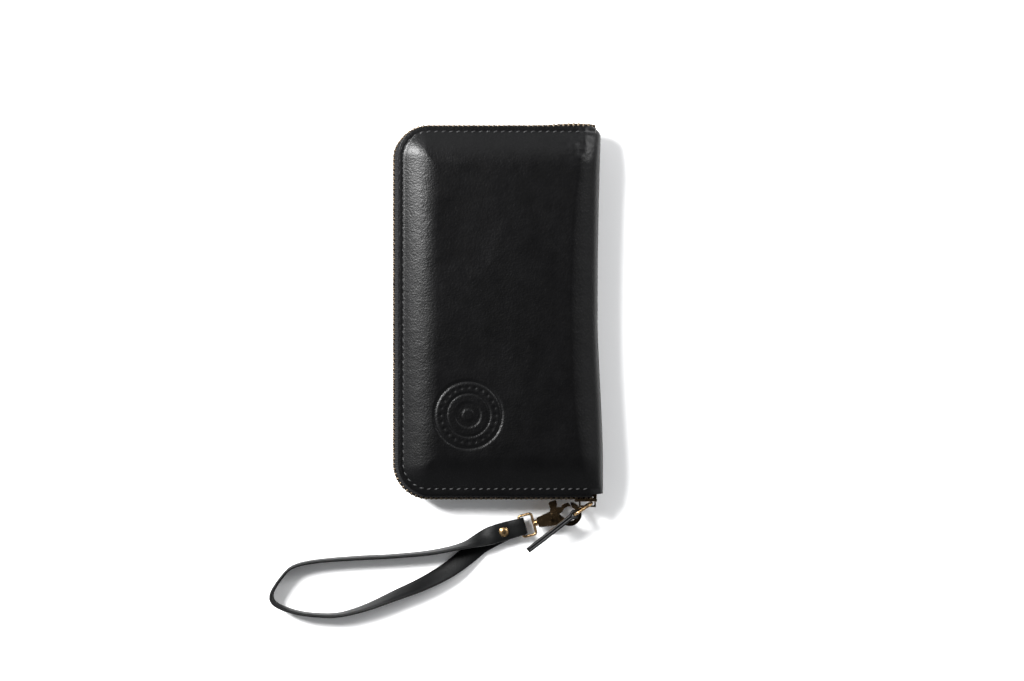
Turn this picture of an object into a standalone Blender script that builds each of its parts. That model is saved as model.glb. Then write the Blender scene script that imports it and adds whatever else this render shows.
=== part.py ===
"""Long zip-around wallet with a wrist strap, closed and lying on its back cover.

Lengths are in millimetres and turn into metres when a mesh is stored. +Z is up,
+X points to the spine, and +Y runs along the wallet. The origin is the middle of
the flat underside of the back cover. Every layer of the front half is the mirror
image of one in the back half, about the plane z = MID_Z.
"""

import math

import bmesh
import bpy
from mathutils import Matrix, Vector

MM = 0.001
GAP = 0.3

# The closed wallet.
HALF_LENGTH = 99.3
THICKNESS = 26.0
MID_Z = THICKNESS / 2
COVER_LEFT = -53.4
PANEL_RIGHT = 49.5
SPINE_X = 55.5
CORNER_RADIUS = 16.5
CROWN_WIDTH = 22.0
HINGE_Z = 6.35
ROLL_SHARE = 0.75
CORNER_STEPS = 4

# Layers of one half: depth below the outside at the edge and in the middle, and thickness.
LEATHER = 1.4
COVER_EDGE_DEPTH = 5.7
FOAM = 0.9
BOARD = 0.8
LINING = 0.6
LINING_EDGE_DEPTH = 8.3
LINING_MIDDLE_DEPTH = 4.4
SLOT_SHEET = 0.4
SLOT_PITCH = 0.7
SLOT_OPENINGS = (-26.0, -14.0, -2.0)
SLOT_BOTTOM = 44.0
SLOT_HALF_LENGTH = 86.0

# Spine and centre coin pocket.
SPINE_HALF_LENGTH = 98.6
SPINE_LINING_X = 53.6
POCKET_MOUTH = -38.0
POCKET_HALF_LENGTH = 88.0
POCKET_WALL = 0.6
POCKET_HALF_DEPTH = 1.3
COIN_ZIP_RUN = 74.0

# Main zip.
CHAIN_OFFSET = 1.9
CHAIN_HALF_DEPTH = 1.1
CHAIN_HALF_HEIGHT = 2.8
TAPE = 0.5
CHAIN_END = 51.0
TAPE_END = 51.5
SLIDER_X = 48.0
SLIDER_HALF_LENGTH = 6.0
SLIDER_HALF_HEIGHT = 3.9
PLATE = 0.8

# Pull ring, thong, clasp and strap.
WIRE = 0.75
RING_SIZE = 12.7
RING_CORNER = 3.0
RING_AXIS = (51.2, -104.45)
RING_Z = 12.4
RING_HEADING = math.radians(213.0)
THONG_HEADING = math.radians(218.6)
THONG_LENGTH = 32.0
THONG_HEIGHT = 5.0
THONG_LEATHER = 1.4
CLASP_HEADING = math.radians(15.5)
CLASP_SLOPE = math.radians(8.2)
CLASP_CONTACT = (22.6, -0.5)
CONTACT_Z = 9.3
HEAD_CENTRE = 20.4
GATE_PIVOT = (11.4, 2.2)
HOOK_TIP = 56.0
GATE_TIP = 66.0
TIP_SLANT = 16.0
BAR_P = -7.5
STRAP_WIDTH = 10.0
BAIL_HALF_WIDTH = 5.8
STRAP_WAIST = 9.4
STRAP_LEATHER = 1.6
RIVET_T = 9.6

# The strap's route after the rivet: x, y and how far its grain side has rolled
# from facing up (0) through facing out of the loop (90) to facing down (180).
STRAP_ROUTE = (
    (-5.0, -123.3, 22.0),
    (-11.5, -125.7, 56.0),
    (-19.8, -128.6, 80.0),
    (-35.6, -132.0, 86.0),
    (-56.3, -134.0, 88.0),
    (-77.1, -135.1, 88.0),
    (-98.4, -136.8, 90.0),
    (-110.9, -139.6, 90.0),
    (-117.2, -145.0, 90.0),
    (-123.0, -154.5, 90.0),
    (-120.8, -160.4, 90.0),
    (-110.0, -164.6, 90.0),
    (-98.4, -166.2, 90.0),
    (-85.8, -166.0, 93.0),
    (-71.1, -161.9, 102.0),
    (-56.3, -155.8, 115.0),
    (-40.5, -149.2, 130.0),
    (-26.5, -141.6, 148.0),
    (-15.0, -133.0, 170.0),
    (-8.0, -127.4, 180.0),
)

BLACK_LEATHER = ((0.012, 0.012, 0.013, 1.0), 0.42, 0.0)
LINING_LEATHER = ((0.03, 0.028, 0.027, 1.0), 0.55, 0.0)
FABRIC = ((0.02, 0.02, 0.022, 1.0), 0.85, 0.0)
FOAM_GREY = ((0.35, 0.35, 0.34, 1.0), 0.9, 0.0)
BOARD_BROWN = ((0.36, 0.27, 0.18, 1.0), 0.8, 0.0)
BRASS = ((0.46, 0.33, 0.17, 1.0), 0.34, 1.0)
DARK_BRASS = ((0.2, 0.14, 0.08, 1.0), 0.45, 1.0)
STEEL = ((0.55, 0.55, 0.56, 1.0), 0.3, 1.0)


def clear_scene():
    for obj in list(bpy.data.objects):
        bpy.data.objects.remove(obj, do_unlink=True)


def material(name, look):
    colour, roughness, metallic = look
    made = bpy.data.materials.new(name)
    made.use_nodes = True
    shader = made.node_tree.nodes["Principled BSDF"]
    shader.inputs["Base Color"].default_value = colour
    shader.inputs["Roughness"].default_value = roughness
    shader.inputs["Metallic"].default_value = metallic
    return made


def store(name, points, faces, look, origin=(0.0, 0.0, 0.0)):
    """A new object from points in millimetres, with its own origin."""
    start = Vector(origin)
    mesh = bpy.data.meshes.new(name)
    mesh.from_pydata([(Vector(point) - start) * MM for point in points], [], faces)
    mesh.validate()
    mesh.update()
    obj = bpy.data.objects.new(name, mesh)
    obj.location = start * MM
    mesh.materials.append(material(name, look))
    bpy.context.scene.collection.objects.link(obj)
    return obj


def solidify(obj, thickness):
    """Thicken an open sheet away from the side that its faces point to."""
    modifier = obj.modifiers.new("Thickness", "SOLIDIFY")
    modifier.thickness = thickness * MM
    modifier.offset = -1.0
    modifier.use_even_offset = True


def cutter(name, points, faces):
    obj = store(name, points, faces, STEEL)
    obj.hide_render = True
    obj.display_type = "WIRE"
    return obj


def join(obj, tool, operation):
    modifier = obj.modifiers.new(tool.name, "BOOLEAN")
    modifier.operation = operation
    modifier.object = tool


def soften(obj, width):
    modifier = obj.modifiers.new("Edges", "BEVEL")
    modifier.width = width * MM
    modifier.segments = 1
    modifier.limit_method = "ANGLE"
    modifier.angle_limit = math.radians(40.0)


# Shapes shared by several pieces.


def mirrored(z, front):
    """A height given for the back half, in the half that is wanted."""
    return THICKNESS - z if front else z


def crown(depth_in):
    """How much of the full padding height is reached this far in from the edge."""
    left = 1.0 - min(max(depth_in, 0.0), CROWN_WIDTH) / CROWN_WIDTH
    return 1.0 - left * left


def rim(depth_in, right, middle=0.0):
    """Points along the three free edges, from the spine end at -Y round to the one at +Y."""
    radius = max(CORNER_RADIUS - depth_in, 2.0)
    half = HALF_LENGTH - depth_in
    centre_x = COVER_LEFT + depth_in + radius
    centre_y = half - radius
    lower = [(right, -half), (middle, -half)]
    for step in range(CORNER_STEPS + 1):
        angle = math.radians(270.0 - 90.0 * step / CORNER_STEPS)
        lower.append((centre_x + radius * math.cos(angle), -centre_y + radius * math.sin(angle)))
    return lower + [(x, -y) for x, y in reversed(lower)]


def ring_faces(rows, count):
    """Quads between rows of points, then across the innermost row."""
    faces = []
    for row in range(rows - 1):
        for i in range(count - 1):
            a = row * count + i
            faces.append((a, a + 1, a + count + 1, a + count))
    last = (rows - 1) * count
    for i in range(count // 2 - 1):
        faces.append((last + i, last + i + 1, last + count - 2 - i, last + count - 1 - i))
    return faces


def padded_sheet(name, look, front, edge_z, middle_z, thickness, insets, right, roll=()):
    """A layer that follows the padded outline. roll lists angles of the bend into the spine."""
    points = []
    for inset in insets:
        base = edge_z + (middle_z - edge_z) * crown(inset)
        line = [(x, y, base) for x, y in rim(inset, right)]
        end = line[-1]
        top = HINGE_Z - GAP / 2
        bend = []
        for degrees in roll:
            angle = math.radians(degrees)
            x = right + (SPINE_X - right) * math.sin(angle)
            bend.append((x, end[1], base + ROLL_SHARE * (top - base) * (1.0 - math.cos(angle))))
        if roll:
            bend.append((SPINE_X, end[1], top))
        start = [(x, -y, z) for x, y, z in reversed(bend)]
        points += start + line + bend
    count = len(points) // len(insets)
    faces = ring_faces(len(insets), count)
    if front:
        faces = [face[::-1] for face in faces]
    points = [(x, y, mirrored(z, front)) for x, y, z in points]
    obj = store(name, points, faces, look)
    solidify(obj, thickness)
    return obj


def grid_sheet(name, look, front, xs, ys, height, thickness):
    """A sheet over the grid xs by ys, whose height follows y."""
    points = [(x, y, mirrored(height(y), front)) for x in xs for y in ys]
    count = len(ys)
    faces = []
    for i in range(len(xs) - 1):
        for j in range(count - 1):
            a = i * count + j
            faces.append((a, a + count, a + count + 1, a + 1))
    if not front:
        faces = [face[::-1] for face in faces]
    obj = store(name, points, faces, look)
    solidify(obj, thickness)
    return obj


def closed_sweep(rows):
    """Faces for equal rows of points round a solid, with both ends capped."""
    count = len(rows[0])
    points = [point for row in rows for point in row]
    faces = [tuple(range(count))[::-1]]
    for r in range(len(rows) - 1):
        for i in range(count):
            a = r * count + i
            b = r * count + (i + 1) % count
            faces.append((a, b, b + count, a + count))
    last = (len(rows) - 1) * count
    faces.append(tuple(range(last, last + count)))
    return points, faces


def outward(points, faces):
    """The same faces, turned so that they point out of the solid."""
    bm = bmesh.new()
    made = [bm.verts.new(point) for point in points]
    for face in faces:
        bm.faces.new([made[i] for i in face])
    bmesh.ops.recalc_face_normals(bm, faces=bm.faces)
    bm.verts.index_update()
    turned = [tuple(vert.index for vert in face.verts) for face in bm.faces]
    bm.free()
    return turned


def edge_sweep(name, look, front, profile, right):
    """A profile of (offset beyond the cover edge, z) swept round the three free edges."""
    lines = [rim(-offset, right) for offset, _ in profile]
    rows = []
    for i in range(len(lines[0])):
        rows.append([(*lines[k][i], mirrored(z, front)) for k, (_, z) in enumerate(profile)])
    points, faces = closed_sweep(rows)
    return store(name, points, outward(points, faces), look)


def box(low, high):
    points = [(x, y, z) for x in (low[0], high[0]) for y in (low[1], high[1]) for z in (low[2], high[2])]
    faces = [(0, 1, 3, 2), (4, 6, 7, 5), (0, 4, 5, 1), (2, 3, 7, 6), (0, 2, 6, 4), (1, 5, 7, 3)]
    return points, faces


def prism(outline, low, high):
    """An outline of (a, b) points between two levels of the third coordinate."""
    points, faces = closed_sweep([[(a, b, level) for a, b in outline] for level in (low, high)])
    return points, outward(points, faces)


def wire_loop(path, normal, radius, sides=8):
    """A closed wire along a flat loop of points whose plane has this normal."""
    normal = Vector(normal).normalized()
    path = [Vector(point) for point in path]
    count = len(path)
    points = []
    for i, centre in enumerate(path):
        along = (path[(i + 1) % count] - path[i - 1]).normalized()
        side = along.cross(normal).normalized()
        for k in range(sides):
            angle = 2.0 * math.pi * k / sides
            points.append(centre + radius * (math.cos(angle) * side + math.sin(angle) * normal))
    faces = []
    for i in range(count):
        for k in range(sides):
            a, b = i * sides + k, i * sides + (k + 1) % sides
            c, d = ((i + 1) % count) * sides + (k + 1) % sides, ((i + 1) % count) * sides + k
            faces.append((a, b, c, d))
    return points, outward(points, faces)


def cylinder(start, axis, radius, length, sides=16):
    axis = Vector(axis).normalized()
    side = axis.orthogonal().normalized()
    other = axis.cross(side)
    rows = []
    for level in (0.0, length):
        row = []
        for k in range(sides):
            angle = 2.0 * math.pi * k / sides
            row.append(Vector(start) + level * axis + radius * (math.cos(angle) * side + math.sin(angle) * other))
        rows.append(row)
    points, faces = closed_sweep(rows)
    return points, outward(points, faces)


def rounded_loop(half_a, half_b, corner, steps=4):
    """Points (a, b) round a rectangle with round corners."""
    points = []
    for quarter in range(4):
        turn = math.radians(90.0 * quarter)
        sign_a = 1.0 if quarter in (0, 3) else -1.0
        sign_b = 1.0 if quarter in (0, 1) else -1.0
        for step in range(steps + 1):
            angle = turn + math.radians(90.0) * step / steps
            a = sign_a * (half_a - corner) + corner * math.cos(angle)
            b = sign_b * (half_b - corner) + corner * math.sin(angle)
            points.append((a, b))
    return points


def arc(centre_a, centre_b, radius, start, end, steps):
    angles = [math.radians(start + (end - start) * step / steps) for step in range(steps + 1)]
    return [(centre_a + radius * math.cos(a), centre_b + radius * math.sin(a)) for a in angles]


# The two padded halves.


def make_half(side, front):
    """Cover, padding, board, lining and card slots of one half."""
    padded_sheet(
        side + "_cover",
        BLACK_LEATHER,
        front,
        COVER_EDGE_DEPTH,
        0.0,
        LEATHER,
        (0.0, 3.0, 7.0, 12.0, 17.0, CROWN_WIDTH),
        PANEL_RIGHT,
        (30.0, 60.0, 90.0),
    )
    foam_z = LEATHER + GAP
    board_z = foam_z + FOAM + GAP
    right = PANEL_RIGHT - 2.0
    for name, look, top, thickness, insets in (
        ("_foam", FOAM_GREY, foam_z, FOAM, (8.0, 12.0, 17.0, CROWN_WIDTH)),
        ("_board", BOARD_BROWN, board_z, BOARD, (10.0, 14.0, 18.0, CROWN_WIDTH)),
    ):
        edge = top + COVER_EDGE_DEPTH
        padded_sheet(side + name, look, front, edge, top, thickness, insets, right)
    padded_sheet(
        side + "_lining",
        LINING_LEATHER,
        front,
        LINING_EDGE_DEPTH,
        LINING_MIDDLE_DEPTH,
        LINING,
        (2.0, 6.0, 12.0, 17.0, CROWN_WIDTH),
        right,
    )
    make_card_slots(side, front)


def slot_stations():
    inner = HALF_LENGTH - CROWN_WIDTH
    half = [-SLOT_HALF_LENGTH, -(SLOT_HALF_LENGTH + inner) / 2, -inner]
    return half + [-y for y in reversed(half)]


def make_card_slots(side, front):
    top = LINING_MIDDLE_DEPTH + LINING + GAP
    rise = LINING_EDGE_DEPTH - LINING_MIDDLE_DEPTH
    for number, opening in enumerate(SLOT_OPENINGS):

        def height(y, level=top + SLOT_PITCH * number):
            return level + rise * (1.0 - crown(HALF_LENGTH - abs(y)))

        name = f"{side}_card_slot_{number + 1}"
        grid_sheet(name, LINING_LEATHER, front, (opening, SLOT_BOTTOM), slot_stations(), height, SLOT_SHEET)


# Spine and centre pocket.


def make_spine():
    for name, look, x, thickness, margin in (
        ("spine_leather", BLACK_LEATHER, SPINE_X, LEATHER, HINGE_Z + 1.5 * GAP),
        ("spine_lining", LINING_LEATHER, SPINE_LINING_X, LINING, HINGE_Z + 1.0),
    ):
        half = SPINE_HALF_LENGTH
        low, high = margin, THICKNESS - margin
        points, faces = box((x - thickness, -half, low), (x, half, high))
        soften(store(name, points, outward(points, faces), look), 0.2)


def make_coin_pocket():
    """Two walls, with a small coil zip along the mouth."""
    right = SPINE_LINING_X - LINING - GAP
    half = POCKET_HALF_LENGTH
    for side, sign in (("back", -1.0), ("front", 1.0)):
        inner = MID_Z + sign * (POCKET_HALF_DEPTH - POCKET_WALL)
        outer = MID_Z + sign * POCKET_HALF_DEPTH
        low, high = sorted((inner, outer))
        points, faces = box((POCKET_MOUTH + 8.0, -half, low), (right, half, high))
        store(f"coin_pocket_{side}_wall", points, outward(points, faces), LINING_LEATHER)
        low, high = sorted((MID_Z + sign * 0.2, MID_Z + sign * 0.6))
        points, faces = box((POCKET_MOUTH + 1.6, -half, low), (POCKET_MOUTH + 7.7, half, high))
        store(f"coin_zip_{side}_tape", points, outward(points, faces), FABRIC)
        low, high = sorted((MID_Z + sign * 0.15, MID_Z + sign * 1.0))
        points, faces = box((POCKET_MOUTH - 1.3, 4.0 - half, low), (POCKET_MOUTH + 1.3, half, high))
        store(f"coin_zip_{side}_coil", points, outward(points, faces), FABRIC)
    make_coin_slider()


def make_coin_slider():
    y = -COIN_ZIP_RUN
    outline = [(POCKET_MOUTH - 2.6, -2.0), (POCKET_MOUTH + 2.6, -2.0), (POCKET_MOUTH + 2.6, -1.3)]
    outline += [(POCKET_MOUTH - 1.7, -1.3), (POCKET_MOUTH - 1.7, 1.3), (POCKET_MOUTH + 2.6, 1.3)]
    outline += [(POCKET_MOUTH + 2.6, 2.0), (POCKET_MOUTH - 2.6, 2.0)]
    rows = [[(x, y + level, MID_Z + z) for x, z in outline] for level in (-3.5, 3.5)]
    points, faces = closed_sweep(rows)
    slider = store("coin_slider", points, outward(points, faces), BRASS, (POCKET_MOUTH, y, MID_Z))
    lug = box((POCKET_MOUTH - 5.1, y - 1.1, MID_Z - 0.6), (POCKET_MOUTH - 2.4, y + 1.1, MID_Z + 0.6))
    join(slider, cutter("coin_slider_lug", *lug), "UNION")
    hole = cylinder((POCKET_MOUTH - 4.2, y, MID_Z - 2.0), (0.0, 0.0, 1.0), 0.6, 4.0, 10)
    join(slider, cutter("coin_slider_hole", *hole), "DIFFERENCE")
    tab = [(-4.9, -1.3), (-12.5, -1.9), (-13.5, -1.0), (-13.5, 1.0), (-12.5, 1.9), (-4.9, 1.3)]
    rows = [[(POCKET_MOUTH + x, y + across, MID_Z + z) for x, across in tab] for z in (0.9, 1.6)]
    points, faces = closed_sweep(rows)
    axis = (POCKET_MOUTH - 4.2, y, MID_Z)
    puller = store("coin_puller", points, outward(points, faces), BRASS, axis)
    eye = box((POCKET_MOUTH - 6.3, y - 1.3, MID_Z - 1.6), (POCKET_MOUTH - 5.7, y + 1.3, MID_Z + 1.2))
    join(puller, cutter("coin_puller_back", *eye), "UNION")
    under = box((POCKET_MOUTH - 6.3, y - 1.3, MID_Z - 1.6), (POCKET_MOUTH - 3.4, y + 1.3, MID_Z - 0.9))
    join(puller, cutter("coin_puller_under", *under), "UNION")
    over = box((POCKET_MOUTH - 6.3, y - 1.3, MID_Z + 0.9), (POCKET_MOUTH - 3.4, y + 1.3, MID_Z + 1.6))
    join(puller, cutter("coin_puller_over", *over), "UNION")
    pin = cylinder((POCKET_MOUTH - 4.2, y, MID_Z - 1.2), (0.0, 0.0, 1.0), 0.3, 2.4, 8)
    join(puller, cutter("coin_puller_pin", *pin), "UNION")


def make_gussets():
    """Four V-shaped pleats, folded inwards between the coin pocket and each half."""
    outer, tip, sheet = 90.0, 70.0, 0.4
    near, far = MID_Z - 2.1, MID_Z - 3.9
    for end, sign in (("top", 1.0), ("bottom", -1.0)):
        for side, front in (("back", False), ("front", True)):
            outline = [(outer, far), (tip, (near + far - sheet) / 2 - 0.1), (tip - 1.0, (near + far) / 2)]
            outline += [(tip, (near + far + sheet) / 2 + 0.1), (outer, near), (outer, near - sheet)]
            outline += [(tip + 1.0, (near + far) / 2), (outer, far + sheet)]
            rows = []
            for x in (-28.0, 48.0):
                rows.append([(x, sign * y, mirrored(z, front)) for y, z in outline])
            points, faces = closed_sweep(rows)
            store(f"{side}_gusset_{end}", points, outward(points, faces), LINING_LEATHER)


# Main zip.


def make_zip():
    inner = CHAIN_OFFSET - TAPE / 2
    outer = CHAIN_OFFSET + TAPE / 2
    top = MID_Z - CHAIN_HALF_HEIGHT - GAP
    tape = [(outer, top), (outer, 8.0), (0.0, 7.75), (-3.0, 6.4), (-6.0, 5.15)]
    tape += [(-6.0, 5.6), (-3.0, 6.85), (0.0, 8.2), (inner, 8.45), (inner, top)]
    near, far = CHAIN_OFFSET - CHAIN_HALF_DEPTH, CHAIN_OFFSET + CHAIN_HALF_DEPTH
    low, high = MID_Z - CHAIN_HALF_HEIGHT, MID_Z - GAP / 2
    chain = [(near, low), (far, low), (far, high), (near, high)]
    for side, front in (("back", False), ("front", True)):
        edge_sweep(side + "_zip_tape", FABRIC, front, tape, TAPE_END)
        edge_sweep(side + "_zip_teeth", DARK_BRASS, front, chain, CHAIN_END)
    y = HALF_LENGTH + CHAIN_OFFSET
    stop = box((CHAIN_END + GAP, y - 1.3, MID_Z - 2.4), (CHAIN_END + 2.3, y + 1.3, MID_Z + 2.4))
    soften(store("zip_bottom_stop", *stop, DARK_BRASS), 0.3)


def slider_boxes():
    """Two plates with turned-in flanges, a wedge between them and a bridge outside."""
    left, right = SLIDER_X - SLIDER_HALF_LENGTH, SLIDER_X + SLIDER_HALF_LENGTH
    inner = -(HALF_LENGTH - 0.6)
    outer = -(HALF_LENGTH + 3.3)
    half = SLIDER_HALF_HEIGHT
    bridge_left, bridge_right = SLIDER_X - 3.6, SLIDER_X + 5.6
    bridge_in, bridge_out = outer - PLATE - 2.3, outer - PLATE - 3.2
    boxes = {
        "inner_plate": ((left, inner - PLATE, MID_Z - half), (right, inner, MID_Z + half)),
        "outer_plate": ((left, outer - PLATE, MID_Z - half), (right, outer, MID_Z + half)),
        "wedge": ((CHAIN_END + 1.2, outer - 0.2, MID_Z - 0.9), (right, inner - PLATE + 0.2, MID_Z + 0.9)),
        "bridge_bar": ((bridge_left, bridge_out, MID_Z - 0.9), (bridge_right, bridge_in, MID_Z + 0.9)),
    }
    for x, name in ((bridge_left, "left_leg"), (bridge_right - 0.9, "right_leg")):
        boxes[name] = ((x, bridge_in - 0.2, MID_Z - 0.9), (x + 0.9, outer - 0.4, MID_Z + 0.9))
    for sign, name in ((-1.0, "lower"), (1.0, "upper")):
        low, high = sorted((MID_Z + sign * half, MID_Z + sign * (half - 0.7)))
        boxes[name + "_outer_flange"] = ((left, outer - 0.4, low), (right, outer + 0.7, high))
        boxes[name + "_inner_flange"] = ((left, inner - PLATE - 1.0, low), (right, inner - 0.4, high))
    return boxes


def make_slider():
    boxes = slider_boxes()
    axis = (SLIDER_X, -(HALF_LENGTH + CHAIN_OFFSET), MID_Z)
    slider = store("zip_slider", *box(*boxes.pop("inner_plate")), BRASS, axis)
    wedge = boxes.pop("wedge")
    for name, (low, high) in [("wedge", wedge), *boxes.items()]:
        join(slider, cutter("slider_" + name, *box(low, high)), "UNION")


# Ring, thong and clasp.


def heading(angle):
    return Vector((math.cos(angle), math.sin(angle), 0.0))


def ring_far_point():
    """The middle of the ring's far wire, where the thong and the clasp hang."""
    start = Vector((*RING_AXIS, RING_Z))
    return start + (RING_SIZE - 2 * WIRE) * heading(RING_HEADING)


def make_ring():
    along = heading(RING_HEADING)
    start = Vector((*RING_AXIS, RING_Z))
    half = (RING_SIZE - 2 * WIRE) / 2
    path = []
    for a, b in rounded_loop(half, half, RING_CORNER):
        path.append(start + (half + a) * along + Vector((0.0, 0.0, b)))
    normal = along.cross(Vector((0.0, 0.0, 1.0)))
    points, faces = wire_loop(path, normal, WIRE)
    store("pull_ring", points, faces, BRASS, start)


def make_thong():
    """A strip folded round the ring's far wire, standing on edge above the clasp."""
    far = ring_far_point()
    along = heading(THONG_HEADING)
    across = Vector((-along.y, along.x, 0.0))
    apart = THONG_LEATHER / 2 + 0.1
    fold = WIRE + 0.45 + THONG_LEATHER / 2
    centre = [(THONG_LENGTH, apart), (7.0, apart), (3.2, apart + 0.45)]
    centre += arc(0.0, 0.0, fold, 60.0, 300.0, 8)
    centre += [(s, -t) for s, t in ((3.2, apart + 0.45), (7.0, apart), (THONG_LENGTH, apart))]
    bottom = CONTACT_Z + 2.0
    rows = []
    for i, (s, t) in enumerate(centre):
        before = Vector(centre[max(i - 1, 0)])
        after = Vector(centre[min(i + 1, len(centre) - 1)])
        run = (after - before).normalized()
        side = Vector((-run.y, run.x)) * THONG_LEATHER / 2
        low = bottom - 0.12 * max(s, 0.0)
        row = []
        for ds, dt, z in (
            (side.x, side.y, low),
            (-side.x, -side.y, low),
            (-side.x, -side.y, low + THONG_HEIGHT),
            (side.x, side.y, low + THONG_HEIGHT),
        ):
            place = far + (s + ds) * along + (t + dt) * across
            row.append((place.x, place.y, z))
        rows.append(row)
    points, faces = closed_sweep(rows)
    store("pull_thong", points, outward(points, faces), BLACK_LEATHER, far)


def clasp_frame():
    """Matrix from the clasp's own (along, across, up) millimetres to the wallet's."""
    flat = heading(CLASP_HEADING)
    along = flat * math.cos(CLASP_SLOPE) + Vector((0.0, 0.0, math.sin(CLASP_SLOPE)))
    across = Vector((-flat.y, flat.x, 0.0))
    up = along.cross(across)
    contact = ring_far_point()
    contact.z = CONTACT_Z
    origin = contact - CLASP_CONTACT[0] * along - CLASP_CONTACT[1] * across
    return Matrix.Translation(origin) @ Matrix((along, across, up)).transposed().to_4x4()


def in_clasp(shape):
    points, faces = shape
    frame = clasp_frame()
    return [frame @ Vector(point) for point in points], faces


def clasp_body_outline():
    outline = [(2.4, -2.7), (9.0, -3.6)]
    outline += arc(HEAD_CENTRE, 0.0, 6.5, -140.0, HOOK_TIP + TIP_SLANT, 14)
    outline += arc(HEAD_CENTRE, 0.0, 3.9, HOOK_TIP, -165.0, 12)
    outline += [(15.2, 0.6), (13.6, 3.4), (10.4, 4.1), (2.4, 2.7)]
    return outline


def gate_outline():
    outline = [(10.2, 0.8), (12.6, 0.5), (15.4, 1.6)]
    outline += arc(HEAD_CENTRE, 0.0, 4.2, 150.0, GATE_TIP, 6)
    outline += arc(HEAD_CENTRE, 0.0, 6.3, GATE_TIP + TIP_SLANT, 128.0, 5)
    outline += [(14.6, 5.4), (15.2, 8.7), (14.6, 9.4), (11.2, 9.2), (10.7, 8.5), (10.8, 5.4), (9.8, 3.2)]
    return outline


def make_clasp():
    """Body with its hook, the sprung gate, and the swivelling bail behind."""
    far = ring_far_point()
    body = store("clasp_body", *in_clasp(prism(clasp_body_outline(), -1.9, 1.9)), BRASS, far)
    for sign, name in ((-1.0, "under"), (1.0, "over")):
        low, high = sorted((sign * 1.2, sign * 3.0))
        trim = prism([(14.8, -8.0), (30.0, -8.0), (30.0, 8.0), (14.8, 8.0)], low, high)
        join(body, cutter("clasp_trim_" + name, *in_clasp(trim)), "DIFFERENCE")
    slot = prism([(8.6, -1.9), (14.4, -1.9), (14.4, 0.1), (19.0, 0.1), (19.0, 9.9), (8.6, 9.9)], -1.1, 1.1)
    join(body, cutter("clasp_slot", *in_clasp(slot)), "DIFFERENCE")
    window = prism([(4.8, -1.7), (7.2, -1.7), (7.2, 1.7), (4.8, 1.7)], -4.0, 1.6)
    join(body, cutter("clasp_window", *in_clasp(window)), "DIFFERENCE")
    bore = cylinder((0.0, 0.0, 0.0), (1.0, 0.0, 0.0), 1.2, 6.0)
    join(body, cutter("clasp_bore", *in_clasp(bore)), "DIFFERENCE")
    pin_hole = cylinder((*GATE_PIVOT, -4.0), (0.0, 0.0, 1.0), 0.9, 8.0)
    join(body, cutter("clasp_pin_hole", *in_clasp(pin_hole)), "DIFFERENCE")

    frame = clasp_frame()
    pivot = frame @ Vector((*GATE_PIVOT, 0.0))
    gate = store("clasp_gate", *in_clasp(prism(gate_outline(), -0.8, 0.8)), BRASS, pivot)
    gate_hole = cylinder((*GATE_PIVOT, -4.0), (0.0, 0.0, 1.0), 0.9, 8.0)
    join(gate, cutter("gate_hole", *in_clasp(gate_hole)), "DIFFERENCE")
    pin = cylinder((*GATE_PIVOT, -1.9), (0.0, 0.0, 1.0), 0.6, 3.8, 12)
    store("gate_pin", *in_clasp(pin), BRASS, pivot)
    leaf = [(9.0, -1.6), (13.6, -1.6), (13.6, -1.3), (9.9, -1.25), (13.0, -0.2), (12.9, 0.05), (9.0, -1.0)]
    store("gate_spring", *in_clasp(prism(leaf, -0.7, 0.7)), STEEL, pivot)


def make_bail():
    """Post with a head in the clasp's window, and the wire loop that holds the strap."""
    origin = clasp_frame() @ Vector((0.0, 0.0, 0.0))
    half_a, half_b = (-BAR_P - 0.2) / 2, BAIL_HALF_WIDTH
    path = [(a + BAR_P + half_a, b, 0.0) for a, b in rounded_loop(half_a, half_b, 1.2, 3)]
    loop = wire_loop(path, (0.0, 0.0, 1.0), WIRE)
    bail = store("swivel_bail", *in_clasp(loop), BRASS, origin)
    for name, start, radius, length in (
        ("post", -0.6, 0.8, 6.4),
        ("head", 5.1, 1.5, 1.2),
        ("collar", 0.3, 1.8, 1.7),
    ):
        tool = cylinder((start, 0.0, 0.0), (1.0, 0.0, 0.0), radius, length, 12)
        join(bail, cutter("bail_" + name, *in_clasp(tool)), "UNION")


# Wrist strap.


def bar_point():
    """The middle of the bail's far bar."""
    return clasp_frame() @ Vector((BAR_P, 0.0, 0.0))


def stack_levels():
    """Centre heights of the strap's three layers under the rivet, lowest first."""
    lowest = 1.2 + STRAP_LEATHER / 2
    step = STRAP_LEATHER + 0.2
    return [lowest, lowest + step, lowest + 2 * step]


def strap_start():
    """The doubled end: centre points with their roll, from the trimmed end round the bar."""
    bar = bar_point()
    back = -heading(CLASP_HEADING)
    _, middle, top = stack_levels()
    fold = WIRE + 0.4 + STRAP_LEATHER / 2
    places = [(RIVET_T + 4.5, middle), (RIVET_T, middle), (5.6, middle), (2.6, bar.z - fold + 0.35)]
    for step in range(7):
        angle = math.radians(-90.0 - 180.0 * step / 6)
        places.append((fold * math.cos(angle), bar.z + fold * math.sin(angle)))
    places += [(2.6, bar.z + fold - 0.35), (5.6, top), (RIVET_T, top), (RIVET_T + 4.5, top)]
    spots = []
    for t, z in places:
        spot = bar + t * back
        spots.append(Vector((spot.x, spot.y, z)))
    return spots


def strap_height(roll):
    """Centre height that rests the rolled strap on the surface below."""
    angle = math.radians(roll)
    return STRAP_WIDTH / 2 * abs(math.sin(angle)) + STRAP_LEATHER / 2 * abs(math.cos(angle)) + 0.1


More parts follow.
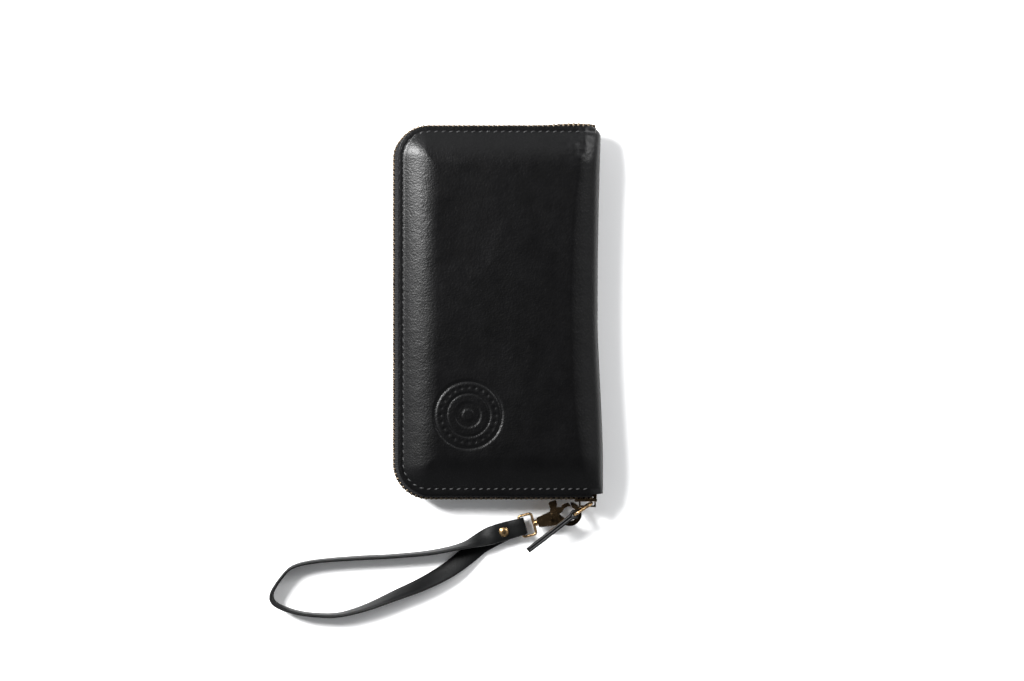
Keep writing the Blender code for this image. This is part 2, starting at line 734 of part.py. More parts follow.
def smooth(points, steps):
    """Catmull-Rom points through a list of equal-length tuples."""
    padded = [points[0], *points, points[-1]]
    made = []
    for i in range(1, len(padded) - 2):
        p0, p1, p2, p3 = padded[i - 1 : i + 3]
        for step in range(steps):
            t = step / steps
            row = []
            for a, b, c, d in zip(p0, p1, p2, p3):
                curve = 2 * b + (c - a) * t + (2 * a - 5 * b + 4 * c - d) * t * t
                row.append(0.5 * (curve + (3 * b - a - 3 * c + d) * t * t * t))
            made.append(tuple(row))
    made.append(tuple(points[-1]))
    return made


def strap_line():
    """Centre points, the side vectors across the strap, and half widths."""
    start = strap_start()
    lowest = stack_levels()[0]
    knots = [(*start[-1], 0.0)]
    for x, y, roll in STRAP_ROUTE:
        rest = strap_height(roll)
        near = max(0.0, 1.0 - (start[-1].x - x) / 30.0)
        stacked = start[-1].z if roll < 90.0 else lowest
        knots.append((x, y, max(rest, stacked * near + rest * (1.0 - near)), roll))
    rivet = bar_point() - RIVET_T * heading(CLASP_HEADING)
    end = rivet + 2.8 * heading(CLASP_HEADING)
    knots.append((end.x, end.y, lowest, 180.0))
    line = smooth(knots, 3)
    centres = start + [Vector(knot[:3]) for knot in line[1:]]
    rolls = [None] * len(start) + [knot[3] for knot in line[1:]]
    return centres, rolls


def strap_width(centre):
    """Full width, narrowed to pass through the bail."""
    distance = (centre - bar_point()).length
    share = min(max((distance - 2.6) / 5.0, 0.0), 1.0)
    return STRAP_WAIST + (STRAP_WIDTH - STRAP_WAIST) * share


def make_strap():
    centres, rolls = strap_line()
    across = Vector((-math.sin(CLASP_HEADING), math.cos(CLASP_HEADING), 0.0))
    rows = []
    for i, centre in enumerate(centres):
        run = (centres[min(i + 1, len(centres) - 1)] - centres[max(i - 1, 0)]).normalized()
        if rolls[i] is None:
            side = across
            normal = run.cross(side).normalized()
        else:
            flat = Vector((run.x, run.y, 0.0)).normalized()
            out = Vector((0.0, 0.0, 1.0)).cross(flat) * -1.0
            angle = math.radians(rolls[i])
            normal = -math.cos(angle) * Vector((0.0, 0.0, 1.0)) - math.sin(angle) * out
            side = normal.cross(flat).normalized()
        half = strap_width(centre) / 2
        thick = STRAP_LEATHER / 2
        corners = ((half, thick), (-half, thick), (-half, -thick), (half, -thick))
        rows.append([centre + a * side + b * normal for a, b in corners])
    points, faces = closed_sweep(rows)
    strap = store("wrist_strap", points, outward(points, faces), BLACK_LEATHER, bar_point())
    rivet = bar_point() - RIVET_T * heading(CLASP_HEADING)
    hole = cylinder((rivet.x, rivet.y, -1.0), (0.0, 0.0, 1.0), 1.6, 12.0, 12)
    join(strap, cutter("strap_rivet_hole", *hole), "DIFFERENCE")


def make_rivet():
    """A cap with its post, and the base that it is pressed into."""
    rivet = bar_point() - RIVET_T * heading(CLASP_HEADING)
    top = stack_levels()[2] + STRAP_LEATHER / 2 + 0.2
    cap = store("rivet_cap", *cylinder((rivet.x, rivet.y, top), (0.0, 0.0, 1.0), 2.6, 1.0, 20), BRASS, rivet)
    soften(cap, 0.35)
    post = cylinder((rivet.x, rivet.y, 1.5), (0.0, 0.0, 1.0), 0.8, top - 1.2, 12)
    join(cap, cutter("rivet_post", *post), "UNION")
    base = cylinder((rivet.x, rivet.y, 0.0), (0.0, 0.0, 1.0), 2.6, 1.0, 20)
    store("rivet_base", *base, BRASS, rivet)


def main():
    clear_scene()
    make_half("back", False)
    make_half("front", True)
    make_spine()
    make_coin_pocket()
    make_gussets()
    make_zip()
    make_slider()
    make_ring()
    make_thong()
    make_clasp()
    make_bail()
    make_strap()
    make_rivet()


main()
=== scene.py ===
"""Looks for the long zip-around wallet: fine meshes and materials in the shared frame.

Shapes are worked out in millimetres and stored in metres. The front half is the
mirror image of the back half about z = MID_Z, as in the CAD model.
"""

import math

import bmesh
import bpy
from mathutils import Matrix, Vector, noise


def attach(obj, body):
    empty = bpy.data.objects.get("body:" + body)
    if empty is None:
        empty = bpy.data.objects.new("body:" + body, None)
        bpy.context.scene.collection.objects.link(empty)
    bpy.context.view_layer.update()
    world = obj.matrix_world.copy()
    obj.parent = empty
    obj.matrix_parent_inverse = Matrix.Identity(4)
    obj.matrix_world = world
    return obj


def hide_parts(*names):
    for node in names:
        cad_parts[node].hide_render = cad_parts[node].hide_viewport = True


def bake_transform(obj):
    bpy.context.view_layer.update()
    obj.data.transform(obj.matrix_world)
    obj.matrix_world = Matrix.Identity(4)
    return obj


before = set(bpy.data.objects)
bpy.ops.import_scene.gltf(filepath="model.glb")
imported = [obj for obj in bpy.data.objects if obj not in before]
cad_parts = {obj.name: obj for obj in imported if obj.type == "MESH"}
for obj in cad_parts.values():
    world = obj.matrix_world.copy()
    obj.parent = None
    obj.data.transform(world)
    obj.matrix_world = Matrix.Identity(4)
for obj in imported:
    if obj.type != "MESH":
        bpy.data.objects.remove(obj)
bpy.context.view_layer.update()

MM = 0.001
THICKNESS = 26.0
MID_Z = THICKNESS / 2
HALF_LENGTH = 99.3
COVER_LEFT = -53.4
CORNER_RADIUS = 16.5
CROWN_WIDTH = 22.0
EDGE_DEPTH = 5.7
LEATHER = 1.4
SPINE_HALF_LENGTH = 98.9
CHAIN_OFFSET = 1.9
TOOTH_PITCH = 2.7
STITCH_INSET = 3.0
MARGIN = 3.5
STITCH_PITCH = 4.0
STITCH_LENGTH = 2.6
STITCH_RADIUS = 0.33
STITCH_SLANT = 0.34
STITCH_END = 47.5
TAPE_END = 51.5
TEETH_END = 51.0
ROLL_FROM = 37.0
FLAT_STEPS = 6
ROLL_STEPS = 42
ROLL_START = 39.0
ROLL_POWER = 3.6
SPINE_X = 54.5
FACET_SLOPE = 0.3
FACET_EASE = 1.6
LINING = 0.6
LINING_EDGE_DEPTH = 8.3
LINING_MIDDLE_DEPTH = 4.4
MARK_CENTRE = (-15.4, -56.2)
MARK_RADIUS = 19.0
MARK_INNER_RING = 11.6
MARK_BEADS = 14.8
SLOT_OPENINGS = (-26.0, -14.0, -2.0)
SLOT_RIGHT = 44.0
SLOT_HALF_LENGTH = 86.0
SLOT_PITCH = 0.7
POCKET_MOUTH = -38.0
POCKET_HALF_LENGTH = 88.0
TUCK = 1.9
TUCK_FROM = 78.0
TUCK_REACH = 16.0
UP = Vector((0.0, 0.0, 1.0))


def bell(distance, width):
    return math.exp(-((distance / width) ** 2))


def tucked(x, y):
    """Y of a zip point: it sits closer in along the far end, less so near the spine."""
    far = min(1.0, max(0.0, (y - TUCK_FROM) / TUCK_REACH))
    return y - far * (TUCK - 0.9 * bell(x - 42.0, 12.0))


# Storing meshes.


def store(name, points, faces, materials):
    """A new smooth object from points in millimetres, with one material or several slots."""
    mesh = bpy.data.meshes.new(name)
    mesh.from_pydata([Vector(point) * MM for point in points], [], faces)
    mesh.update()
    obj = bpy.data.objects.new(name, mesh)
    bpy.context.scene.collection.objects.link(obj)
    for made in materials if isinstance(materials, (list, tuple)) else [materials]:
        mesh.materials.append(made)
    mesh.polygons.foreach_set("use_smooth", [True] * len(mesh.polygons))
    return obj


def fixed(obj):
    """The same object with its modifiers turned into plain mesh."""
    graph = bpy.context.evaluated_depsgraph_get()
    made = bpy.data.meshes.new_from_object(obj.evaluated_get(graph))
    obj.modifiers.clear()
    obj.data = made
    return obj


def faces_out(obj):
    """Turn every face so that it points out of the piece."""
    bm = bmesh.new()
    bm.from_mesh(obj.data)
    bmesh.ops.recalc_face_normals(bm, faces=bm.faces)
    bm.to_mesh(obj.data)
    bm.free()


def modifier(obj, kind, **settings):
    made = obj.modifiers.new(kind.title(), kind)
    for key, value in settings.items():
        setattr(made, key, value)


def bevel(obj, width, segments=2, degrees=35.0):
    limit = math.radians(degrees)
    modifier(obj, "BEVEL", width=width * MM, segments=segments, angle_limit=limit)


def rides(obj, body, slot, *nodes):
    """Fix a piece to its body and hide the CAD solids it replaces; the slot argument is not used."""
    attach(obj, body)
    if nodes:
        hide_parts(*nodes)


def mirrored(z, front):
    """A height given for the back half, in the half that is wanted."""
    return THICKNESS - z if front else z


def turned(faces, front):
    """The faces of a back sheet, or reversed for the mirrored front one."""
    return [face[::-1] for face in faces] if front else faces


def circle(centre, side, other, radius, count):
    """Points round a circle whose plane holds the directions side and other."""
    row = []
    for k in range(count):
        angle = 2.0 * math.pi * k / count
        row.append(centre + radius * (math.cos(angle) * side + math.sin(angle) * other))
    return row


def grid_faces(rows, columns, closed=False):
    faces = []
    for i in range(rows - 1):
        for j in range(columns if closed else columns - 1):
            k = (j + 1) % columns
            here, after = i * columns, (i + 1) * columns
            faces.append((here + j, here + k, after + k, after + j))
    return faces


def sweep(rows):
    """Points and faces for equal closed rows of points, with both ends capped."""
    count = len(rows[0])
    points = [point for row in rows for point in row]
    faces = grid_faces(len(rows), count, closed=True)
    faces.append(tuple(range(count))[::-1])
    faces.append(tuple(range(len(points) - count, len(points))))
    return points, faces


def spread(low, high, step):
    """Even places from low to high, about step apart."""
    count = max(1, round((high - low) / step))
    return [low + (high - low) * i / count for i in range(count + 1)]


def smooth_line(points, steps):
    """Catmull-Rom points through a list of equal-length tuples."""
    extended = [points[0], *points, points[-1]]
    made = []
    for i in range(1, len(extended) - 2):
        p0, p1, p2, p3 = extended[i - 1 : i + 3]
        for step in range(steps):
            t = step / steps
            row = []
            for a, b, c, d in zip(p0, p1, p2, p3):
                curve = 2 * b + (c - a) * t + (2 * a - 5 * b + 4 * c - d) * t * t
                row.append(0.5 * (curve + (3 * b - a - 3 * c + d) * t * t * t))
            made.append(tuple(row))
    made.append(tuple(points[-1]))
    return made


# Materials.


class Look:
    """A Principled material with a few short ways to add procedural detail."""

    def __init__(self, name, base, roughness, metallic=0.0, **sockets):
        self.material = bpy.data.materials.new(name)
        self.material.use_nodes = True
        self.tree = self.material.node_tree
        self.shader = self.tree.nodes["Principled BSDF"]
        self.shader.inputs["Base Color"].default_value = (*base, 1.0)
        self.shader.inputs["Roughness"].default_value = roughness
        self.shader.inputs["Metallic"].default_value = metallic
        for key, value in sockets.items():
            self.shader.inputs[key.replace("_", " ")].default_value = value
        coords = self.tree.nodes.new("ShaderNodeTexCoord")
        self.where = coords.outputs["Object"]
        self.normal = None

    def node(self, kind, **values):
        made = self.tree.nodes.new(kind)
        for key, value in values.items():
            if hasattr(made, key):
                setattr(made, key, value)
            else:
                made.inputs[key.replace("_", " ")].default_value = value
        return made

    def link(self, out, into):
        self.tree.links.new(out, into)

    def rotated(self, degrees):
        """Coordinates turned about Z."""
        mapping = self.node("ShaderNodeMapping")
        mapping.inputs["Rotation"].default_value = (0.0, 0.0, math.radians(degrees))
        self.link(self.where, mapping.inputs["Vector"])
        return mapping.outputs["Vector"]

    def noise(self, scale, detail=4.0, rough=0.55):
        made = self.node("ShaderNodeTexNoise", Scale=scale, Detail=detail, Roughness=rough)
        self.link(self.where, made.inputs["Vector"])
        return made.outputs["Fac"]

    def cells(self, scale, feature="F1"):
        made = self.node("ShaderNodeTexVoronoi", feature=feature, Scale=scale)
        self.link(self.where, made.inputs["Vector"])
        return made.outputs["Distance"]

    def waves(self, scale, direction, distortion, vector=None):
        made = self.node("ShaderNodeTexWave", Scale=scale, Distortion=distortion)
        made.bands_direction = direction
        self.link(vector or self.where, made.inputs["Vector"])
        return made.outputs["Fac"]

    def colours(self, factor, stops):
        """Base colour from a factor, through (position, colour) stops."""
        ramp = self.node("ShaderNodeValToRGB")
        elements = ramp.color_ramp.elements
        for i, (position, colour) in enumerate(stops):
            element = elements[i] if i < 2 else elements.new(position)
            element.position = position
            element.color = (*colour, 1.0)
        self.link(factor, ramp.inputs["Fac"])
        self.link(ramp.outputs["Color"], self.shader.inputs["Base Color"])

    def roughness(self, factor, low, high):
        made = self.node("ShaderNodeMapRange")
        made.inputs["To Min"].default_value = low
        made.inputs["To Max"].default_value = high
        self.link(factor, made.inputs["Value"])
        self.link(made.outputs["Result"], self.shader.inputs["Roughness"])

    def bump(self, factor, height, strength):
        made = self.node("ShaderNodeBump")
        made.inputs["Strength"].default_value = strength
        made.inputs["Distance"].default_value = height * MM
        self.link(factor, made.inputs["Height"])
        if self.normal:
            self.link(self.normal, made.inputs["Normal"])
        self.normal = made.outputs["Normal"]
        self.link(self.normal, self.shader.inputs["Normal"])


def leather(name, dark, light, roughness, grain_scale, grain_height, **sockets):
    """Grained leather: rounded cells, fine pores and slow changes of colour and sheen."""
    look = Look(name, dark, roughness[0], **sockets)
    look.colours(look.noise(55.0, 6.0, 0.6), [(0.3, dark), (0.75, light)])
    look.roughness(look.noise(140.0, 5.0, 0.65), *roughness)
    look.bump(look.noise(330.0, 5.0, 0.6), grain_height * 2.2, 0.6)
    look.bump(look.cells(grain_scale, "SMOOTH_F1"), grain_height, 0.8)
    look.bump(look.noise(grain_scale * 3.0, 5.0, 0.7), grain_height * 0.45, 0.5)
    return look.material


def edge_paint(name, base, light):
    """Matt painted edges with a slightly uneven surface."""
    look = Look(name, base, 0.45, Specular_IOR_Level=0.2)
    look.colours(look.noise(400.0, 4.0), [(0.35, base), (0.7, light)])
    look.roughness(look.noise(900.0, 3.0), 0.35, 0.6)
    look.bump(look.noise(1500.0, 4.0, 0.7), 0.08, 0.5)
    return look.material


def metal(name, base, dark, roughness, bump_height=0.03):
    """Cast and plated metal with tarnish in soft patches and fine pits."""
    look = Look(name, base, roughness[0], 1.0)
    patch = look.noise(260.0, 7.0, 0.65)
    look.colours(patch, [(0.34, dark), (0.52, base), (0.8, tuple(min(1.0, c * 1.25) for c in base))])
    look.roughness(look.noise(600.0, 6.0, 0.7), *roughness)
    look.bump(look.noise(900.0, 5.0, 0.6), bump_height, 0.6)
    return look.material


def fabric(name, dark, light, pitch_per_m):
    """Woven tape: ribs one way, finer picks the other, and fuzz."""
    look = Look(name, dark, 0.85, Specular_IOR_Level=0.2)
    warp = look.waves(pitch_per_m, "Y", 0.4)
    weft = look.waves(pitch_per_m * 0.8, "Z", 0.6)
    look.colours(warp, [(0.2, dark), (0.9, light)])
    look.roughness(look.noise(800.0, 4.0), 0.7, 0.95)
    look.bump(warp, 0.12, 0.6)
    look.bump(weft, 0.08, 0.5)
    look.bump(look.noise(2500.0, 4.0), 0.05, 0.5)
    return look.material


def thread(name, dark, light):
    """Waxed thread with the slanted ribs of its twist."""
    look = Look(name, dark, 0.5, Sheen_Weight=0.4, Sheen_Roughness=0.35)
    twist = look.waves(620.0, "X", 1.5, look.rotated(38.0))
    look.colours(twist, [(0.25, dark), (0.8, light)])
    look.roughness(look.noise(700.0, 3.0), 0.35, 0.65)
    look.bump(twist, 0.12, 0.7)
    return look.material


def padding(name, base, dark, scale):
    """Foam or pressed board: open cells with a dusty surface."""
    look = Look(name, base, 0.9)
    look.colours(look.cells(scale), [(0.1, dark), (0.6, base)])
    look.roughness(look.noise(500.0), 0.8, 1.0)
    look.bump(look.cells(scale), 0.15, 0.8)
    look.bump(look.noise(scale * 2.0, 5.0), 0.08, 0.6)
    return look.material


COVER_LEATHER = leather(
    "cover_leather",
    (0.0008, 0.0008, 0.0009),
    (0.0017, 0.0017, 0.0019),
    (0.27, 0.38),
    1150.0,
    0.085,
    Specular_IOR_Level=0.2,
)
STRAP_LOOK = leather(
    "strap_leather",
    (0.0018, 0.0019, 0.002),
    (0.0036, 0.0038, 0.0039),
    (0.4, 0.58),
    1500.0,
    0.07,
    Specular_IOR_Level=0.09,
)
LINING_LOOK = leather(
    "lining_leather",
    (0.022, 0.02, 0.019),
    (0.04, 0.036, 0.034),
    (0.5, 0.66),
    1900.0,
    0.04,
)
EDGE_LOOK = edge_paint("edge_paint", (0.0016, 0.0016, 0.0018), (0.005, 0.005, 0.0053))
ZIP_FABRIC = fabric("zip_fabric", (0.003, 0.003, 0.0035), (0.01, 0.01, 0.011), 260.0)
BRASS = metal("antique_brass", (0.36, 0.235, 0.115), (0.09, 0.055, 0.03), (0.18, 0.36))
CAST_BRASS = metal("cast_brass", (0.13, 0.085, 0.045), (0.03, 0.02, 0.013), (0.16, 0.34))
TEETH_METAL = metal("zip_metal", (0.11, 0.086, 0.06), (0.025, 0.019, 0.014), (0.26, 0.46))
STEEL = metal("spring_steel", (0.6, 0.6, 0.61), (0.35, 0.34, 0.33), (0.25, 0.4), 0.01)
THREAD = thread("thread", (0.0045, 0.0045, 0.005), (0.018, 0.018, 0.019))
FOAM_LOOK = padding("foam", (0.42, 0.42, 0.4), (0.2, 0.2, 0.19), 1800.0)
BOARD_LOOK = padding("board", (0.4, 0.31, 0.21), (0.26, 0.19, 0.12), 900.0)


# Camera, floor and light.

CAMERA_PLACE = (0.0081, -0.0163, 1.2007)
CAMERA_LENS = 77.0
FLOOR_HALF_SIZE = 12000.0
FLOOR_GAP = 0.1
WORLD_RAMPS = (("Z", 0.95, 0.72, 0.02, 1.25), ("Y", -0.7, 0.4, 0.3, 0.85))


def make_camera():
    """Straight above the wallet and its strap."""
    data = bpy.data.cameras.new("Camera")
    data.lens = CAMERA_LENS
    data.sensor_width = 36.0
    camera = bpy.data.objects.new("Camera", data)
    camera.location = CAMERA_PLACE
    bpy.context.scene.collection.objects.link(camera)
    bpy.context.scene.camera = camera


def area_light(name, place, aim, size, energy):
    data = bpy.data.lights.new(name, "AREA")
    data.shape = "RECTANGLE"
    data.size, data.size_y = size
    data.energy = energy
    light = bpy.data.objects.new(name, data)
    light.location = place
    light.rotation_mode = "QUATERNION"
    light.rotation_quaternion = (Vector(aim) - Vector(place)).to_track_quat("-Z", "Y")
    bpy.context.scene.collection.objects.link(light)


def make_stage():
    """A large pale floor, a soft key light on the left and a weaker fill on the right."""
    half = FLOOR_HALF_SIZE
    corners = [(-half, -half, 0), (half, -half, 0), (half, half, 0), (-half, half, 0)]
    floor = store("floor", corners, [(0, 1, 2, 3)], [])
    floor.location.z = -FLOOR_GAP * MM
    look = Look("floor", (0.94, 0.94, 0.94), 0.8)
    look.colours(look.noise(3.0), [(0.3, (0.935, 0.935, 0.935)), (0.7, (0.945, 0.945, 0.945))])
    floor.data.materials.append(look.material)
    make_surroundings()
    area_light("key", (-0.82, 0.46, 0.8), (0.0, 0.05, 0.0), (0.3, 0.6), 50.0)
    area_light("fill", (0.9, 0.75, 0.9), (0.0, 0.0, 0.0), (0.6, 0.6), 11.0)
    bpy.context.scene.view_settings.view_transform = "Standard"


def make_surroundings():
    """A pale room: dark straight above, bright lower down, and dimmer towards -Y."""
    world = bpy.data.worlds.new("World")
    world.use_nodes = True
    tree = world.node_tree
    background = tree.nodes["Background"]
    background.inputs["Color"].default_value = (0.965, 0.98, 1.0, 1.0)
    coords = tree.nodes.new("ShaderNodeTexCoord")
    split = tree.nodes.new("ShaderNodeSeparateXYZ")
    tree.links.new(coords.outputs["Generated"], split.inputs["Vector"])
    values = []
    for socket, *limits in WORLD_RAMPS:
        ramp = tree.nodes.new("ShaderNodeMapRange")
        ramp.interpolation_type = "SMOOTHSTEP"
        for key, value in zip(("From Min", "From Max", "To Min", "To Max"), limits):
            ramp.inputs[key].default_value = value
        tree.links.new(split.outputs[socket], ramp.inputs["Value"])
        values.append(ramp.outputs["Result"])
    both = tree.nodes.new("ShaderNodeMath")
    both.operation = "MULTIPLY"
    for value, socket in zip(values, both.inputs):
        tree.links.new(value, socket)
    tree.links.new(both.outputs["Value"], background.inputs["Strength"])
    bpy.context.scene.world = world


# Wrist strap: the folded start at the bail, then the long loop back to the rivet.

CLASP_HEADING = math.radians(15.5)
CLASP_SLOPE = math.radians(8.2)
STRAP_WIDTH = 10.0
STRAP_WAIST = 9.4
STRAP_THICKNESS = 1.6
WIRE = 0.75
RIVET_T = 9.6
TRIM_T = RIVET_T + 4.5
ROUND_BAR = 2.6
BAR_STEPS = 6
BAR_POINT = Vector((12.965, -118.030, 5.007))

# The route after the rivet: x, y and how far the grain side has rolled from facing
# up (0) through facing out of the loop (90) to facing down (180).
STRAP_ROUTE = (
    (-5.0, -123.3, 22.0),
    (-11.5, -125.7, 56.0),
    (-19.8, -128.6, 80.0),
    (-35.6, -132.0, 86.0),
    (-56.3, -134.0, 88.0),
    (-77.1, -135.1, 88.0),
    (-98.4, -136.8, 90.0),
    (-110.9, -139.6, 90.0),
    (-117.2, -145.0, 90.0),
    (-123.0, -154.5, 90.0),
    (-120.8, -160.4, 90.0),
    (-110.0, -164.6, 90.0),
    (-98.4, -166.2, 90.0),
    (-85.8, -166.0, 93.0),
    (-71.1, -161.9, 102.0),
    (-56.3, -155.8, 115.0),
    (-40.5, -149.2, 130.0),
    (-26.5, -141.6, 148.0),
    (-15.0, -133.0, 170.0),
    (-8.0, -127.4, 180.0),
)


def heading(angle):
    return Vector((math.cos(angle), math.sin(angle), 0.0))


def stack_levels():
    """Centre heights of the strap's three layers under the rivet, lowest first."""
    lowest = 1.2 + STRAP_THICKNESS / 2
    step = STRAP_THICKNESS + 0.2
    return [lowest, lowest + step, lowest + 2 * step]


def rivet_point():
    return BAR_POINT - RIVET_T * heading(CLASP_HEADING)


def strap_knots():
    """Every knot as (x, y, z, roll), from the trimmed end round the bar and along the loop."""
    back = -heading(CLASP_HEADING)
    lowest, middle, top = stack_levels()
    fold = WIRE + 0.4 + STRAP_THICKNESS / 2
    places = [(TRIM_T, middle), (RIVET_T, middle), (5.6, middle)]
    places.append((ROUND_BAR, BAR_POINT.z - fold + 0.35))
    for step in range(BAR_STEPS + 1):
        angle = math.radians(-90.0 - 180.0 * step / BAR_STEPS)
        places.append((fold * math.cos(angle), BAR_POINT.z + fold * math.sin(angle)))
    places.append((ROUND_BAR, BAR_POINT.z + fold - 0.35))
    places += [(5.6, top), (RIVET_T, top), (TRIM_T, top)]
    start = [(*(BAR_POINT + t * back).xy, z) for t, z in places]
    loop = [(*start[-1], 0.0)]
    for x, y, roll in STRAP_ROUTE:
        angle = math.radians(roll)
        rest = STRAP_WIDTH / 2 * abs(math.sin(angle))
        rest += STRAP_THICKNESS / 2 * abs(math.cos(angle)) + 0.1
        near = max(0.0, 1.0 - (start[-1][0] - x) / 30.0)
        stacked = start[-1][2] if roll < 90.0 else lowest
        loop.append((x, y, max(rest, stacked * near + rest * (1.0 - near)), roll))
    end = rivet_point() + 2.8 * heading(CLASP_HEADING)
    loop.append((end.x, end.y, lowest, 180.0))
    return start, loop


def ribbon_section(half, thick):
    """A section as (across, through) pairs: flat faces and round edges."""
    section = []
    inner = half - thick * 0.75
    for sign in (1.0, -1.0):
        for degrees in (90, 55, 20, -20, -55, -90):
            angle = math.radians(degrees)
            across = inner + thick * 0.75 * math.cos(angle)
            section.append((sign * across, sign * thick * math.sin(angle)))
        section.append((sign * inner * 0.33, -sign * thick))
        section.append((-sign * inner * 0.33, -sign * thick))
    return section


def ribbon(stations):
    """A strip through (centre, side, normal, half width, half thickness) stations."""
    rows = []
    for centre, side, normal, half, thick in stations:
        rows.append([centre + a * side + b * normal for a, b in ribbon_section(half, thick)])
    return sweep(rows)


def strap_stations():
    """Where the strap's cross section goes: centre, directions and half sizes."""
    start, loop = strap_knots()
    across = Vector((-math.sin(CLASP_HEADING), math.cos(CLASP_HEADING), 0.0))
    first = [Vector(knot) for knot in smooth_line(start, 3)]
    second = smooth_line(loop, 8)
    centres = first + [Vector(knot[:3]) for knot in second[1:]]
    rolls = [None] * len(first) + [knot[3] for knot in second[1:]]
    stations = []
    for i, centre in enumerate(centres):
        run = (centres[min(i + 1, len(centres) - 1)] - centres[max(i - 1, 0)]).normalized()
        if rolls[i] is None:
            side, normal = across, run.cross(across).normalized()
        else:
            flat = Vector((run.x, run.y, 0.0)).normalized()
            out = UP.cross(flat) * -1.0
            angle = math.radians(rolls[i])
            normal = -math.cos(angle) * UP - math.sin(angle) * out
            side = normal.cross(flat).normalized()
        share = min(max(((centre - BAR_POINT).length - ROUND_BAR) / 5.0, 0.0), 1.0)
        width = STRAP_WAIST + (STRAP_WIDTH - STRAP_WAIST) * share
        stations.append((centre, side, normal, width / 2, STRAP_THICKNESS / 2))
    return stations


def paint_ribbon(obj, count):
    """Edge paint on the round edges of a ribbon, whose section has count points."""
    half = count // 2
    for index, face in enumerate(obj.data.polygons):
        place = index % count
        face.material_index = 1 if place % half in (1, 2, 3) or len(face.vertices) > 4 else 0


def make_strap():
    stations = strap_stations()
    points, faces = ribbon(stations)
    strap = store("strap_leather_band", points, faces, [STRAP_LOOK, EDGE_LOOK])
    paint_ribbon(strap, len(ribbon_section(1.0, 0.1)))
    faces_out(strap)
    rides(strap, "strap", "strap_leather", "wrist_strap")
    rivets = make_rivets()


def lathe(profile, centre, sides=40):
    """Points and faces from (radius, height) pairs turned about the upright axis."""
    side = UP.orthogonal().normalized()
    other = UP.cross(side)
    centre = Vector(centre)
    return sweep([circle(centre + z * UP, side, other, radius, sides) for radius, z in profile])


def make_rivets():
    """A domed cap on top of the strap and the flat foot below it."""
    centre = rivet_point()
    top = stack_levels()[2] + STRAP_THICKNESS / 2 + 0.05
    dome = [(0.8, -5.6), (0.8, 0.0), (2.45, 0.0), (2.62, 0.12), (2.65, 0.32), (2.5, 0.52)]
    dome += [(2.35, 0.56), (2.25, 0.52), (2.05, 0.66), (1.5, 0.92), (0.9, 1.06), (0.3, 1.12)]
    cap = store("rivet_dome", *lathe(dome, (centre.x, centre.y, top)), BRASS)
    faces_out(cap)
    rides(cap, "strap", "antique_brass", "rivet_cap")
    foot = [(1.0, 1.0), (2.45, 1.0), (2.62, 0.88), (2.65, 0.55)]
    foot += [(2.55, 0.2), (2.3, 0.03), (1.0, 0.0), (0.5, 0.12)]
    base = store("rivet_foot", *lathe(foot, (centre.x, centre.y, 0.02)), BRASS)
    faces_out(base)
    rides(base, "strap", "antique_brass", "rivet_base")
    return [cap, base]


# The padded halves.


def crown(depth_in):
    """How much of the full padding height is reached this far in from the edge."""
    left = 1.0 - min(max(depth_in, 0.0), CROWN_WIDTH) / CROWN_WIDTH
    return 1.0 - left * left


def pillow_depth(inside):
    """Depth below the middle: a nearly flat sewn margin, then the padded rise."""
    if inside <= MARGIN:
        return EDGE_DEPTH - 0.1 * max(inside, 0.0)
    left = 1.0 - min(inside - MARGIN, CROWN_WIDTH - MARGIN) / (CROWN_WIDTH - MARGIN)
    return (EDGE_DEPTH - 0.1 * MARGIN) * left * left


def depth_inside(x, y):
    """Distance from the three free edges of the cover, round its two corners."""
    from_left = x - COVER_LEFT
    from_end = HALF_LENGTH - abs(y)
    if from_left < CORNER_RADIUS and from_end < CORNER_RADIUS:
        reach = math.hypot(CORNER_RADIUS - from_left, CORNER_RADIUS - from_end)
        return CORNER_RADIUS - reach
    return min(from_left, from_end)


def spine_x(y):
    """Outside of the spine: drawn in at the middle and flared at the lower end."""
    if y > 0.0:
        return SPINE_X + 1.4 * (y / 86.0) ** 2 - 4.0 * max(0.0, (y - 94.5) / 4.8) ** 2
    share = min(1.0, -y / 85.0)
    return SPINE_X + 2.9 * share * share * (3.0 - 2.0 * share)


def roll_x(y):
    """Where the cover starts to turn down into the spine."""
    share = abs(y) / HALF_LENGTH
    return ROLL_START + 8.5 * share**2.4 + (1.5 * share**5 if y < 0.0 else 0.0)


def facet(reach):
    """Depth gained on the slope before the spine, which starts softly."""
    return FACET_SLOPE * (reach - FACET_EASE * (1.0 - math.exp(-reach / FACET_EASE)))


def roll_depth(start, end, share, base):
    """Depth along the turn into the spine: a sloping facet, then a tight round edge."""
    width = end - start
    round_edge = 1.0 - max(0.0, 1.0 - share**ROLL_POWER) ** (1.0 / ROLL_POWER)
    return base + facet(share * width) + (MID_Z - base - facet(width)) * round_edge


def mark_depth(x, y):
    """A plain round mark pressed in: two rings, beads between them and a button."""
    dx, dy = x - MARK_CENTRE[0], y - MARK_CENTRE[1]
    radius = math.hypot(dx, dy)
    if radius > MARK_RADIUS + 3.0:
        return 0.0
    depth = 0.42 * bell(radius - (MARK_RADIUS - 1.0), 0.8)
    depth += 0.3 * bell(radius - MARK_INNER_RING, 0.6)
    around = math.atan2(dy, dx)
    nearest = round(around / math.radians(15.0)) * math.radians(15.0)
    bead = math.hypot(radius - MARK_BEADS, MARK_BEADS * (around - nearest))
    depth += 0.26 * bell(bead, 0.8)
    depth += 0.3 * bell(max(0.0, abs(radius - 5.0) - 1.4), 0.6)
    return depth


